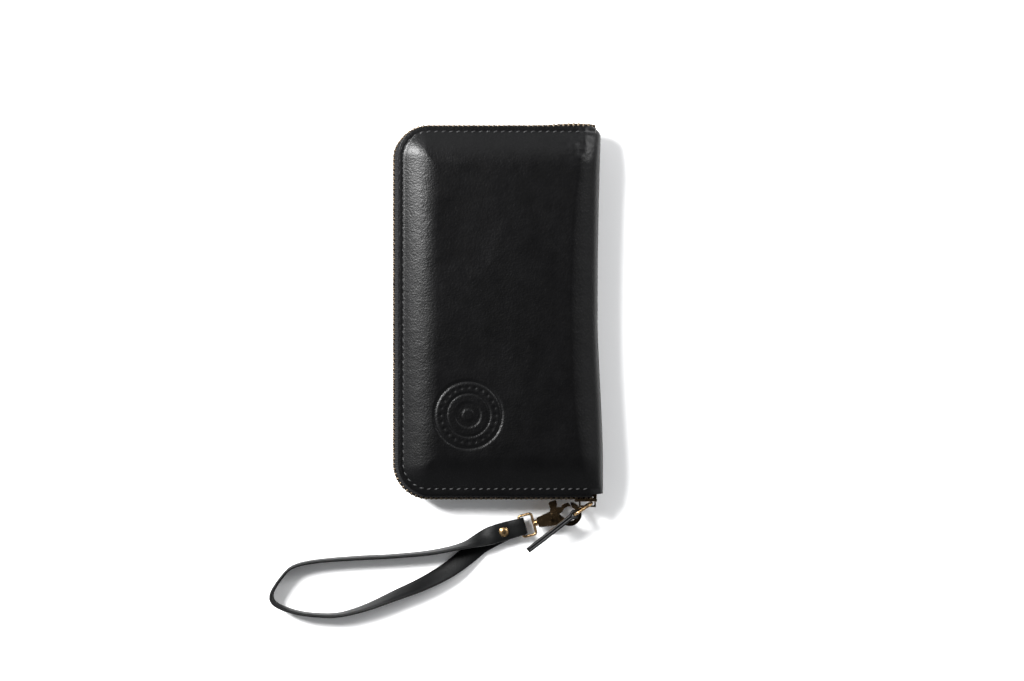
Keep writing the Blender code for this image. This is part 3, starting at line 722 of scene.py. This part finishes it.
def skin_depth(x, y, front):
    """Depth of the outer leather below the flat middle, before the roll into the spine."""
    inside = depth_inside(x, y)
    depth = pillow_depth(inside) + 0.22 * bell(inside - STITCH_INSET, 0.8)
    if not front:
        return depth
    slow = noise.noise(Vector((x * 0.03, y * 0.022, 3.1)))
    fine = noise.noise(Vector((x * 0.11, y * 0.09, 7.7)))
    middle = min(1.0, max(0.0, inside - 4.0) / 12.0)
    depth -= middle * (0.35 * slow + 0.1 * fine)
    return depth + mark_depth(x, y)


def corner_wrinkle(x, y):
    """Small folds where the leather turns the upper spine corner."""
    reach = bell(math.hypot(x - 45.0, y - 91.0), 9.0)
    folds = noise.noise(Vector((x * 0.2 + y * 0.12, y * 0.34 - x * 0.1, 1.7)))
    return 0.95 * reach * folds


def sheet_columns(inset, right, dense):
    """Column places from the left edge to the right: closer round the corners."""
    radius = max(CORNER_RADIUS - inset, 2.0)
    left = COVER_LEFT + inset
    columns = [left + radius * (1.0 - math.cos(math.radians(a))) for a in range(0, 90, 5)]
    if dense:
        mark_end = MARK_CENTRE[0] + MARK_RADIUS + 1.0
        columns += [x for x in spread(columns[-1] + 0.6, mark_end, 0.45) if x < mark_end]
        columns += spread(mark_end, right, 1.1)
    else:
        columns += spread(columns[-1] + 1.2, right, 1.8)
    return columns


def row_shares(dense):
    """Row places as shares of the half length, closer at the ends and round the mark."""
    if not dense:
        return [-1.0, -0.995] + spread(-0.985, 0.985, 0.022) + [0.995, 1.0]
    low = (MARK_CENTRE[1] - MARK_RADIUS - 1.0) / HALF_LENGTH
    high = (MARK_CENTRE[1] + MARK_RADIUS + 1.0) / HALF_LENGTH
    rows = [-1.0, -0.997, -0.993] + spread(-0.987, low, 0.008)[:-1] + spread(low, high, 0.0046)
    return rows + spread(high, 0.987, 0.01)[1:] + [0.993, 0.997, 1.0]


def half_width(x, inset, half_length):
    """Half the sheet's extent along Y at this column."""
    radius = max(CORNER_RADIUS - inset, 2.0)
    centre = COVER_LEFT + inset + radius
    if x >= centre:
        return half_length
    return half_length - radius + math.sqrt(max(0.0, radius * radius - (centre - x) ** 2))


def layer(name, front, look, inset, right, height, thickness):
    """An inner sheet over the padded outline."""
    columns = sheet_columns(inset, right, False)
    shares = row_shares(False)
    points = []
    for x in columns:
        reach = half_width(x, inset, HALF_LENGTH - inset)
        for share in shares:
            y = share * reach
            points.append((x, y, mirrored(height(x, y), front)))
    faces = turned(grid_faces(len(columns), len(shares)), front)
    obj = store(name, points, faces, look)
    modifier(obj, "SOLIDIFY", thickness=thickness * MM, offset=-1.0)
    return obj


def cover_points(front, dense):
    """Rows of points over the cover and round into its half of the spine."""
    columns = sheet_columns(0.0, ROLL_FROM, dense)
    shares = row_shares(dense)
    points = []
    for x in columns:
        reach = half_width(x, 0.0, HALF_LENGTH)
        points += [(x, share * reach, skin_depth(x, share * reach, front)) for share in shares]
    for step in range(1, ROLL_STEPS + 1):
        for share in shares:
            y = share * HALF_LENGTH
            start, end = roll_x(y), spine_x(y)
            if step <= FLAT_STEPS:
                x = ROLL_FROM + (start - ROLL_FROM) * step / FLAT_STEPS
                points.append((x, y, skin_depth(x, y, front)))
                continue
            angle = math.radians(90.0 * (step - FLAT_STEPS) / (ROLL_STEPS - FLAT_STEPS))
            base = skin_depth(start, y, front)
            x = start + (end - start) * math.sin(angle)
            z = roll_depth(start, end, math.sin(angle), base)
            squeeze = 1.0 - (1.0 - SPINE_HALF_LENGTH / HALF_LENGTH) * (1.0 - math.cos(angle))
            points.append((x, y * squeeze, z))
    if front:
        points = [(x, y, z + corner_wrinkle(x, y)) for x, y, z in points]
    return points, len(shares), len(columns) + ROLL_STEPS


def make_cover(side, front):
    """One half's outer leather with its share of the spine; the front has the mark."""
    points, across, count = cover_points(front, front)
    points = [(x, y, THICKNESS - z if front else max(z, 0.0)) for x, y, z in points]
    faces = turned(grid_faces(count, across), front)
    obj = store(side + "_leather_shell", points, faces, [COVER_LEATHER, EDGE_LOOK])
    modifier(obj, "SOLIDIFY", thickness=LEATHER * MM, offset=-1.0, material_offset_rim=1)
    bevel(obj, 0.32, 2, 60.0)
    fixed(obj)
    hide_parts(side + "_cover")
    if front:
        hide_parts("spine_leather")
    blend_to_spine(obj, side)


def blend_to_spine(obj, side):
    if side == "back":
        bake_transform(obj)
    else:
        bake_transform(obj)


def rolled_top(depth_below):
    """Height of an inner layer that keeps a set depth under the outer leather."""

    def height(x, y):
        start, end = roll_x(y), spine_x(y)
        depth = pillow_depth(depth_inside(x, y))
        if x > start:
            depth = roll_depth(start, end, (x - start) / (end - start), depth)
        return depth + depth_below

    return height


def lining_height(x, y):
    rise = LINING_MIDDLE_DEPTH - LINING_EDGE_DEPTH
    return LINING_EDGE_DEPTH + rise * crown(depth_inside(x, y))


def make_inner_layers(side, front):
    """Foam, then board, lining and card slots, from the cover inwards."""
    foam = layer(side + "_foam_pad", front, FOAM_LOOK, 8.0, 44.0, rolled_top(1.7), 0.9)
    board = layer(side + "_stiff_board", front, BOARD_LOOK, 10.0, 43.0, rolled_top(2.9), 0.8)
    for obj, slot, node in ((foam, "foam", "_foam"), (board, "board", "_board")):
        bevel(obj, 0.15, 1, 60.0)
        rides(fixed(obj), side, slot, side + node)
    lining = layer(side + "_lining_leather", front, LINING_LOOK, 2.0, STITCH_END, lining_height, LINING)
    bevel(lining, 0.15, 2, 60.0)
    rides(fixed(lining), side, "lining_leather", side + "_lining")
    make_card_slots(side, front)


def slot_height(y, number):
    level = LINING_MIDDLE_DEPTH + LINING + 0.3 + SLOT_PITCH * number
    return level + 3.9 * (1.0 - crown(HALF_LENGTH - abs(y)))


def make_card_slots(side, front):
    """Three stepped sheets, each with a turned mouth that has two thumb notches."""
    ys = spread(-SLOT_HALF_LENGTH, SLOT_HALF_LENGTH, 2.0)
    for number, opening in enumerate(SLOT_OPENINGS):
        xs = [opening, opening + 0.3, opening + 3.2, opening + 3.5]
        xs += spread(opening + 6.0, SLOT_RIGHT, 4.0)
        points = []
        for x in xs:
            for y in ys:
                notch, z = 0.0, slot_height(y, number)
                if x < opening + 3.4:
                    notch = 2.6 * (bell(y - 43.0, 9.0) + bell(y + 43.0, 9.0))
                    z -= 0.16 * 0.3
                points.append((x + notch, y, mirrored(z, front)))
        faces = turned(grid_faces(len(xs), len(ys)), front)
        sheet = store(f"{side}_slot_leather_{number + 1}", points, faces, LINING_LOOK)
        modifier(sheet, "SOLIDIFY", thickness=0.42 * MM, offset=-1.0)
        bevel(sheet, 0.1, 1, 60.0)
        rides(fixed(sheet), side, "lining_leather", f"{side}_card_slot_{number + 1}")


def stitch(centre, along, up, length, radius):
    """One thread bridge: an arched bead that dives in at both ends."""
    side = along.cross(up).normalized()
    rows = []
    for step in range(7):
        share = step / 6.0
        angle = math.pi * share
        place = centre + along * (share - 0.5) * length + up * (0.32 * math.sin(angle) - 0.22)
        thick = radius * (0.45 + 0.55 * math.sin(angle) ** 0.5)
        rows.append(circle(place, side, up, thick, 8))
    return sweep(rows)


def gather(shapes):
    """Many (points, faces) shapes as one."""
    points, faces = [], []
    for some, links in shapes:
        start = len(points)
        points += some
        faces += [tuple(i + start for i in face) for face in links]
    return points, faces


def rim_line(inset, right, step):
    """Evenly spaced (point, direction) pairs round the three free edges."""
    radius = max(CORNER_RADIUS - inset, 2.0)
    half = HALF_LENGTH - inset
    centre_x = COVER_LEFT + inset + radius
    outline = [Vector((right, -half))]
    for degrees in range(270, 179, -2):
        angle = math.radians(degrees)
        corner = Vector((centre_x, -(half - radius)))
        outline.append(corner + radius * Vector((math.cos(angle), math.sin(angle))))
    outline += [Vector((point.x, -point.y)) for point in reversed(outline)]
    lengths = [0.0]
    for a, b in zip(outline, outline[1:]):
        lengths.append(lengths[-1] + (b - a).length)
    count = int(lengths[-1] / step)
    spots = []
    segment = 0
    for i in range(count + 1):
        target = lengths[-1] * i / count
        while segment < len(lengths) - 2 and lengths[segment + 1] < target:
            segment += 1
        a, b = outline[segment], outline[segment + 1]
        share = (target - lengths[segment]) / (b - a).length
        spots.append((a.lerp(b, share), (b - a).normalized()))
    return spots


def make_edge_stitches(side, front):
    """A row of short slanted stitches along the three free edges."""
    shapes = []
    sign = -1.0 if front else 1.0
    for spot, along in rim_line(STITCH_INSET, STITCH_END, STITCH_PITCH):
        inward = Vector((-along.y, along.x))
        if spot.dot(inward) > 0.0:
            inward = -inward
        here = skin_depth(spot.x, spot.y, front)
        deeper = skin_depth(spot.x + inward.x, spot.y + inward.y, front)
        slope = Vector((inward.x, inward.y, sign * (deeper - here)))
        run = (Vector((*along, 0.0)) - STITCH_SLANT * slope.normalized()).normalized()
        up = run.cross(slope).normalized()
        if up.z * sign > 0.0:
            up = -up
        centre = Vector((spot.x, spot.y, mirrored(here, front)))
        shapes.append(stitch(centre, run, up, STITCH_LENGTH, STITCH_RADIUS))
    obj = store(side + "_edge_stitches", *gather(shapes), THREAD)
    faces_out(obj)
    rides(obj, side, "zip_fabric")


# Main zip.


def rim_points(inset, right):
    """Points round the three free edges, as many at every inset."""
    radius = max(CORNER_RADIUS - inset, 2.0)
    half = HALF_LENGTH - inset
    centre_x = COVER_LEFT + inset + radius
    lower = [(x, -half) for x in spread(right, centre_x, 2.5)]
    for degrees in range(267, 179, -3):
        angle = math.radians(degrees)
        lower.append((centre_x + radius * math.cos(angle), -(half - radius) + radius * math.sin(angle)))
    middle = [(COVER_LEFT + inset, y) for y in spread(-(half - radius), half - radius, 3.0)[1:-1]]
    return lower + middle + [(x, -y) for x, y in reversed(lower)]


def profile_sweep(name, profile, right, look, front):
    """A profile of (offset beyond the cover edge, z) swept round the free edges."""
    rows = []
    lines = [rim_points(-offset, right) for offset, _ in profile]
    for i in range(len(lines[0])):
        row = []
        for line, (_, z) in zip(lines, profile):
            x, y = line[i]
            row.append((x, tucked(x, y), mirrored(z, front)))
        rows.append(row)
    obj = store(name, *sweep(rows), look)
    faces_out(obj)
    return obj


def tooth():
    """One zip tooth that meshes downwards: a clamp on the tape, then a head with a nib."""
    half = [(0.55, 3.2), (0.68, 2.2), (0.62, 1.3), (0.86, 0.7), (0.8, 0.05), (0.35, -0.35)]
    outline = [(-0.55, 3.2), *half] + [(-a, z) for a, z in reversed(half[1:])]
    rows = []
    for out, shrink in ((-1.2, 0.78), (-1.02, 1.0), (0.0, 1.04), (1.02, 1.0), (1.2, 0.78)):
        rows.append([(a * shrink, out, 1.4 + (z - 1.4) * (0.5 + 0.5 * shrink)) for a, z in outline])
    points, faces = sweep(rows)
    return [Vector(point) for point in points], faces


def make_teeth(side, front):
    """One row of teeth: each half takes every second place, so that the rows mesh."""
    points, faces = tooth()
    shapes = []
    spots = rim_line(-CHAIN_OFFSET, TEETH_END, TOOTH_PITCH / 2)
    for i, (spot, along) in enumerate(spots):
        if (i % 2 == 0) != front:
            continue
        out = Vector((along.y, -along.x, 0.0))
        if out.dot(Vector((*spot, 0.0))) < 0.0:
            out = -out
        run = Vector((*along, 0.0))
        placed = []
        for point in points:
            height = point.z if front else -point.z
            place = Vector((*spot, MID_Z)) + point.x * run + point.y * out + height * UP
            place.y = tucked(place.x, place.y)
            placed.append(place)
        shapes.append((placed, faces))
    obj = store(side + "_metal_teeth", *gather(shapes), TEETH_METAL)
    bevel(obj, 0.12, 1, 40.0)
    fixed(obj)
    faces_out(obj)
    rides(obj, side, "zip_metal", side + "_zip_teeth")


def make_tapes(side, front):
    """A tape under the cover's edge, with the bead that the teeth clamp on."""
    inner, outer, top = CHAIN_OFFSET - 0.75, CHAIN_OFFSET - 0.25, MID_Z - 1.4
    tape = [(outer, top), (outer, 8.6), (outer - 0.5, 8.0), (0.0, 7.75), (-3.0, 6.4), (-6.0, 5.15)]
    tape += [(-6.0, 5.6), (-3.0, 6.85), (0.0, 8.2), (inner - 0.4, 8.5), (inner, 9.0), (inner, top)]
    obj = profile_sweep(side + "_woven_tape", tape, TAPE_END, ZIP_FABRIC, front)
    rides(obj, side, "zip_fabric", side + "_zip_tape")
    middle = Vector((CHAIN_OFFSET, MID_Z - 1.5))
    bead = circle(middle, Vector((1.0, 0.0)), Vector((0.0, 1.0)), 0.5, 8)
    cord = profile_sweep(side + "_tape_bead", bead, TAPE_END, ZIP_FABRIC, front)
    rides(cord, side, "zip_fabric")


# Hardware.

RING_AXIS = Vector((51.2, -104.45, 12.4))
RING_HEADING = math.radians(213.0)
RING_HALF = 5.6
RING_CORNER = 3.0
THONG_HEADING = math.radians(218.6)
THONG_LENGTH = 32.0
THONG_THICKNESS = 1.4
THONG_HALF_HEIGHT = 2.5
THONG_MIDDLE = 13.8
PIN_GROWTH = 1.4
PIN_UP = math.cos(CLASP_SLOPE) * UP - math.sin(CLASP_SLOPE) * heading(CLASP_HEADING)


def refined(node, name, body, slot, look, width, segments=3, degrees=32.0):
    """A copy of a plain metal piece with its corners rounded, in its place."""
    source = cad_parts[node]
    bm = bmesh.new()
    bm.from_mesh(source.data)
    bmesh.ops.remove_doubles(bm, verts=bm.verts, dist=1e-6)
    bmesh.ops.dissolve_limit(bm, angle_limit=math.radians(1.0), verts=bm.verts, edges=bm.edges)
    mesh = bpy.data.meshes.new(name)
    bm.to_mesh(mesh)
    bm.free()
    mesh.materials.clear()
    mesh.materials.append(look)
    obj = bpy.data.objects.new(name, mesh)
    bpy.context.scene.collection.objects.link(obj)
    bevel(obj, width, segments, degrees)
    fixed(obj)
    obj.data.polygons.foreach_set("use_smooth", [True] * len(obj.data.polygons))
    modifier(obj, "WEIGHTED_NORMAL", keep_sharp=False)
    fixed(obj)
    rides(obj, body, slot, node)
    return obj


def widen(obj, axis, growth):
    """Thicken a round piece about its own axis, without making it longer."""
    count = len(obj.data.vertices)
    centre = sum((vertex.co for vertex in obj.data.vertices), Vector()) / count
    for vertex in obj.data.vertices:
        offset = vertex.co - centre
        along = offset.dot(axis) * axis
        vertex.co = centre + along + growth * (offset - along)


def wire_loop(path, normal, radius, sides=14):
    """A closed wire along a flat loop of points whose plane has this normal."""
    normal = Vector(normal).normalized()
    count = len(path)
    points = []
    for i, centre in enumerate(path):
        along = (path[(i + 1) % count] - path[i - 1]).normalized()
        points += circle(centre, along.cross(normal).normalized(), normal, radius, sides)
    faces = grid_faces(count + 1, sides, closed=True)
    return points, [tuple(index % len(points) for index in face) for face in faces]


def rounded_loop(half_a, half_b, corner, steps):
    """Points (a, b) round a rectangle with round corners."""
    points = []
    for quarter in range(4):
        turn = math.radians(90.0 * quarter)
        sign_a = 1.0 if quarter in (0, 3) else -1.0
        sign_b = 1.0 if quarter in (0, 1) else -1.0
        for step in range(steps + 1):
            angle = turn + math.radians(90.0) * step / steps
            a = sign_a * (half_a - corner) + corner * math.cos(angle)
            b = sign_b * (half_b - corner) + corner * math.sin(angle)
            points.append((a, b))
    return points


def make_ring():
    """The upright square wire ring that hangs on the slider."""
    along = heading(RING_HEADING)
    path = []
    for a, b in rounded_loop(RING_HALF, RING_HALF, RING_CORNER, 10):
        path.append(RING_AXIS + (RING_HALF + a) * along + Vector((0.0, 0.0, b)))
    ring = store("ring_wire", *wire_loop(path, along.cross(UP), WIRE), BRASS)
    faces_out(ring)
    rides(ring, "ring", "antique_brass", "pull_ring")


def thong_line():
    """The folded strip as (along, across) pairs from its ring."""
    apart = THONG_THICKNESS / 2 + 0.02
    fold = WIRE + 0.2 + THONG_THICKNESS / 2
    line = [(THONG_LENGTH, apart), (20.0, apart), (11.0, apart), (5.0, apart), (2.3, apart + 0.06)]
    for degrees in range(60, 301, 30):
        angle = math.radians(degrees)
        line.append((fold * math.cos(angle), fold * math.sin(angle)))
    line += [(s, -t) for s, t in reversed(line[:5])]
    return smooth_line(line, 5)


def make_thong():
    """A leather strip folded round the ring's far wire, standing on edge."""
    far = RING_AXIS + 2 * RING_HALF * heading(RING_HEADING)
    along = heading(THONG_HEADING)
    across = Vector((-along.y, along.x, 0.0))
    line = thong_line()
    stations = []
    for i, (s, t) in enumerate(line):
        before = Vector(line[max(i - 1, 0)])
        after = Vector(line[min(i + 1, len(line) - 1)])
        run = (after - before).normalized()
        normal = (-run.y * along + run.x * across).normalized()
        taper = 1.0 - 0.25 * max(0.0, (s - 24.0) / 8.0)
        centre = far + s * along + t * across
        centre.z = THONG_MIDDLE - 0.12 * max(s, 0.0)
        stations.append((centre, UP, normal, THONG_HALF_HEIGHT * taper, THONG_THICKNESS / 2))
    points, faces = ribbon(stations)
    thong = store("thong_leather", points, faces, [STRAP_LOOK, EDGE_LOOK])
    paint_ribbon(thong, len(ribbon_section(1.0, 0.1)))
    faces_out(thong)
    rides(thong, "thong", "strap_leather", "pull_thong")


def make_hardware():
    """Slider, stop, clasp, swivel and coin zip metal, then the ring with its thong."""
    refined("zip_slider", "slider_casting", "slider", "antique_brass", CAST_BRASS, 0.28)
    clip = refined("zip_bottom_stop", "stop_clip", "back", "zip_metal", TEETH_METAL, 0.25)
    far_edge = HALF_LENGTH + CHAIN_OFFSET
    shift = tucked(COVER_LEFT, far_edge) - far_edge
    for vertex in clip.data.vertices:
        vertex.co.y += shift * MM
    refined("clasp_body", "clasp_casting", "clasp", "antique_brass", CAST_BRASS, 0.6, 4, 40.0)
    refined("clasp_gate", "gate_lever", "gate", "antique_brass", CAST_BRASS, 0.4, 3, 40.0)
    pin = refined("gate_pin", "gate_pin_head", "clasp", "antique_brass", CAST_BRASS, 0.12)
    widen(pin, PIN_UP, PIN_GROWTH)
    refined("gate_spring", "gate_leaf", "clasp", "spring_steel", STEEL, 0.06, 1)
    refined("swivel_bail", "bail_wire", "swivel", "antique_brass", BRASS, 0.12, 2, 55.0)
    refined("coin_slider", "coin_slider_casting", "coin_slider", "antique_brass", BRASS, 0.18)
    refined("coin_puller", "coin_puller_tab", "coin_puller", "antique_brass", BRASS, 0.12)
    make_ring()
    make_thong()


# Inside: spine lining, coin pocket and gussets.


def box_shell(low, high, step=4.0):
    """A thin closed slab made of rows along Y."""
    corners = (low[0], low[2]), (high[0], low[2]), (high[0], high[2]), (low[0], high[2])
    return sweep([[(x, y, z) for x, z in corners] for y in spread(low[1], high[1], step)])


def make_slab(name, low, high, look, body, slot, node, width=0.15):
    obj = store(name, *box_shell(low, high), look)
    faces_out(obj)
    bevel(obj, width, 2, 40.0)
    fixed(obj)
    rides(obj, body, slot, node)


def line_stitches(name, start, end, up, pitch, body):
    """A straight row of stitches."""
    start, end, up = Vector(start), Vector(end), Vector(up)
    count = int((end - start).length / pitch)
    run = (end - start).normalized()
    shapes = []
    for i in range(count):
        centre = start.lerp(end, (i + 0.5) / count)
        shapes.append(stitch(centre, run, up, pitch * 0.78, 0.2))
    obj = store(name, *gather(shapes), THREAD)
    faces_out(obj)
    rides(obj, body, "zip_fabric")


def make_coil(side, sign):
    """A nylon coil along the pocket's mouth: one fine wire in flat turns."""
    pitch, count, steps = 1.4, 120, 10
    path = []
    for i in range(count * steps + 1):
        turn = 2.0 * math.pi * i / steps
        y = -84.0 + pitch * i / steps + (pitch / 2 if sign > 0 else 0.0)
        z = MID_Z + sign * 0.58 + 0.28 * math.sin(turn)
        path.append(Vector((POCKET_MOUTH + math.cos(turn), y, z)))
    rows = []
    for i, centre in enumerate(path):
        run = (path[min(i + 1, len(path) - 1)] - path[max(i - 1, 0)]).normalized()
        side_way = run.cross(UP).normalized()
        rows.append(circle(centre, side_way, run.cross(side_way), 0.22, 5))
    obj = store(f"coin_{side}_nylon_coil", *sweep(rows), ZIP_FABRIC)
    faces_out(obj)
    rides(obj, "spine", "zip_fabric", f"coin_zip_{side}_coil")


def make_inside():
    """Spine lining, then the coin pocket's walls, tapes, stitches, coils and gussets."""
    low, high = (53.0, -98.6, 7.35), (53.6, 98.6, 18.65)
    lining = "spine", "lining_leather"
    make_slab("spine_lining_leather", low, high, LINING_LOOK, *lining, "spine_lining")
    half = POCKET_HALF_LENGTH
    for side, sign in (("back", -1.0), ("front", 1.0)):
        low, high = sorted((MID_Z + sign * 0.7, MID_Z + sign * 1.3))
        wall = (POCKET_MOUTH + 8.0, -half, low), (52.7, half, high)
        node = f"coin_pocket_{side}_wall"
        make_slab(f"coin_{side}_wall_leather", *wall, LINING_LOOK, *lining, node)
        low, high = sorted((MID_Z + sign * 0.2, MID_Z + sign * 0.6))
        tape = (POCKET_MOUTH + 1.6, -half, low), (POCKET_MOUTH + 7.7, half, high)
        node = f"coin_zip_{side}_tape"
        make_slab(f"coin_{side}_woven_tape", *tape, ZIP_FABRIC, "spine", "zip_fabric", node, 0.08)
        level = MID_Z + sign * 1.32
        start = (POCKET_MOUTH + 9.5, 2.0 - half, level)
        end = (start[0], half - 2.0, level)
        line_stitches(f"coin_{side}_mouth_stitches", start, end, (0, 0, sign), 3.0, "spine")
        make_coil(side, sign)
        for end, way in (("top", 1.0), ("bottom", -1.0)):
            make_gusset(side, sign, end, way)


def make_gusset(side, sign, end, way):
    """A soft V pleat folded inwards between the pocket and one half."""
    outer, tip, thickness = 90.0, 69.6, 0.24
    near, far = 2.1, 3.9
    line = [(outer, far - 0.2), (outer - 8.0, far - 0.3), (tip + 3.0, 3.15), (tip + 0.4, 3.0)]
    line += [(tip + 3.0, 2.85), (outer - 8.0, near + 0.3), (outer, near + 0.2)]
    line = smooth_line(line, 5)
    points = []
    xs = spread(-28.0, 48.0, 3.0)
    for x in xs:
        for y, level in line:
            soft = 0.05 * math.sin(x * 0.35 + y * 0.2)
            points.append((x, way * y, MID_Z + sign * (level + soft)))
    obj = store(f"{side}_gusset_leather_{end}", points, grid_faces(len(xs), len(line)), LINING_LOOK)
    modifier(obj, "SOLIDIFY", thickness=thickness * MM, offset=0.0)
    fixed(obj)
    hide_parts(f"{side}_gusset_{end}")
    if side == "back":
        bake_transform(obj)
    else:
        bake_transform(obj)


make_camera()
make_strap()
make_stage()
for side, front in (("back", False), ("front", True)):
    make_cover(side, front)
    make_inner_layers(side, front)
    make_edge_stitches(side, front)
    make_tapes(side, front)
    make_teeth(side, front)
make_hardware()
make_inside()

bpy.context.view_layer.update()
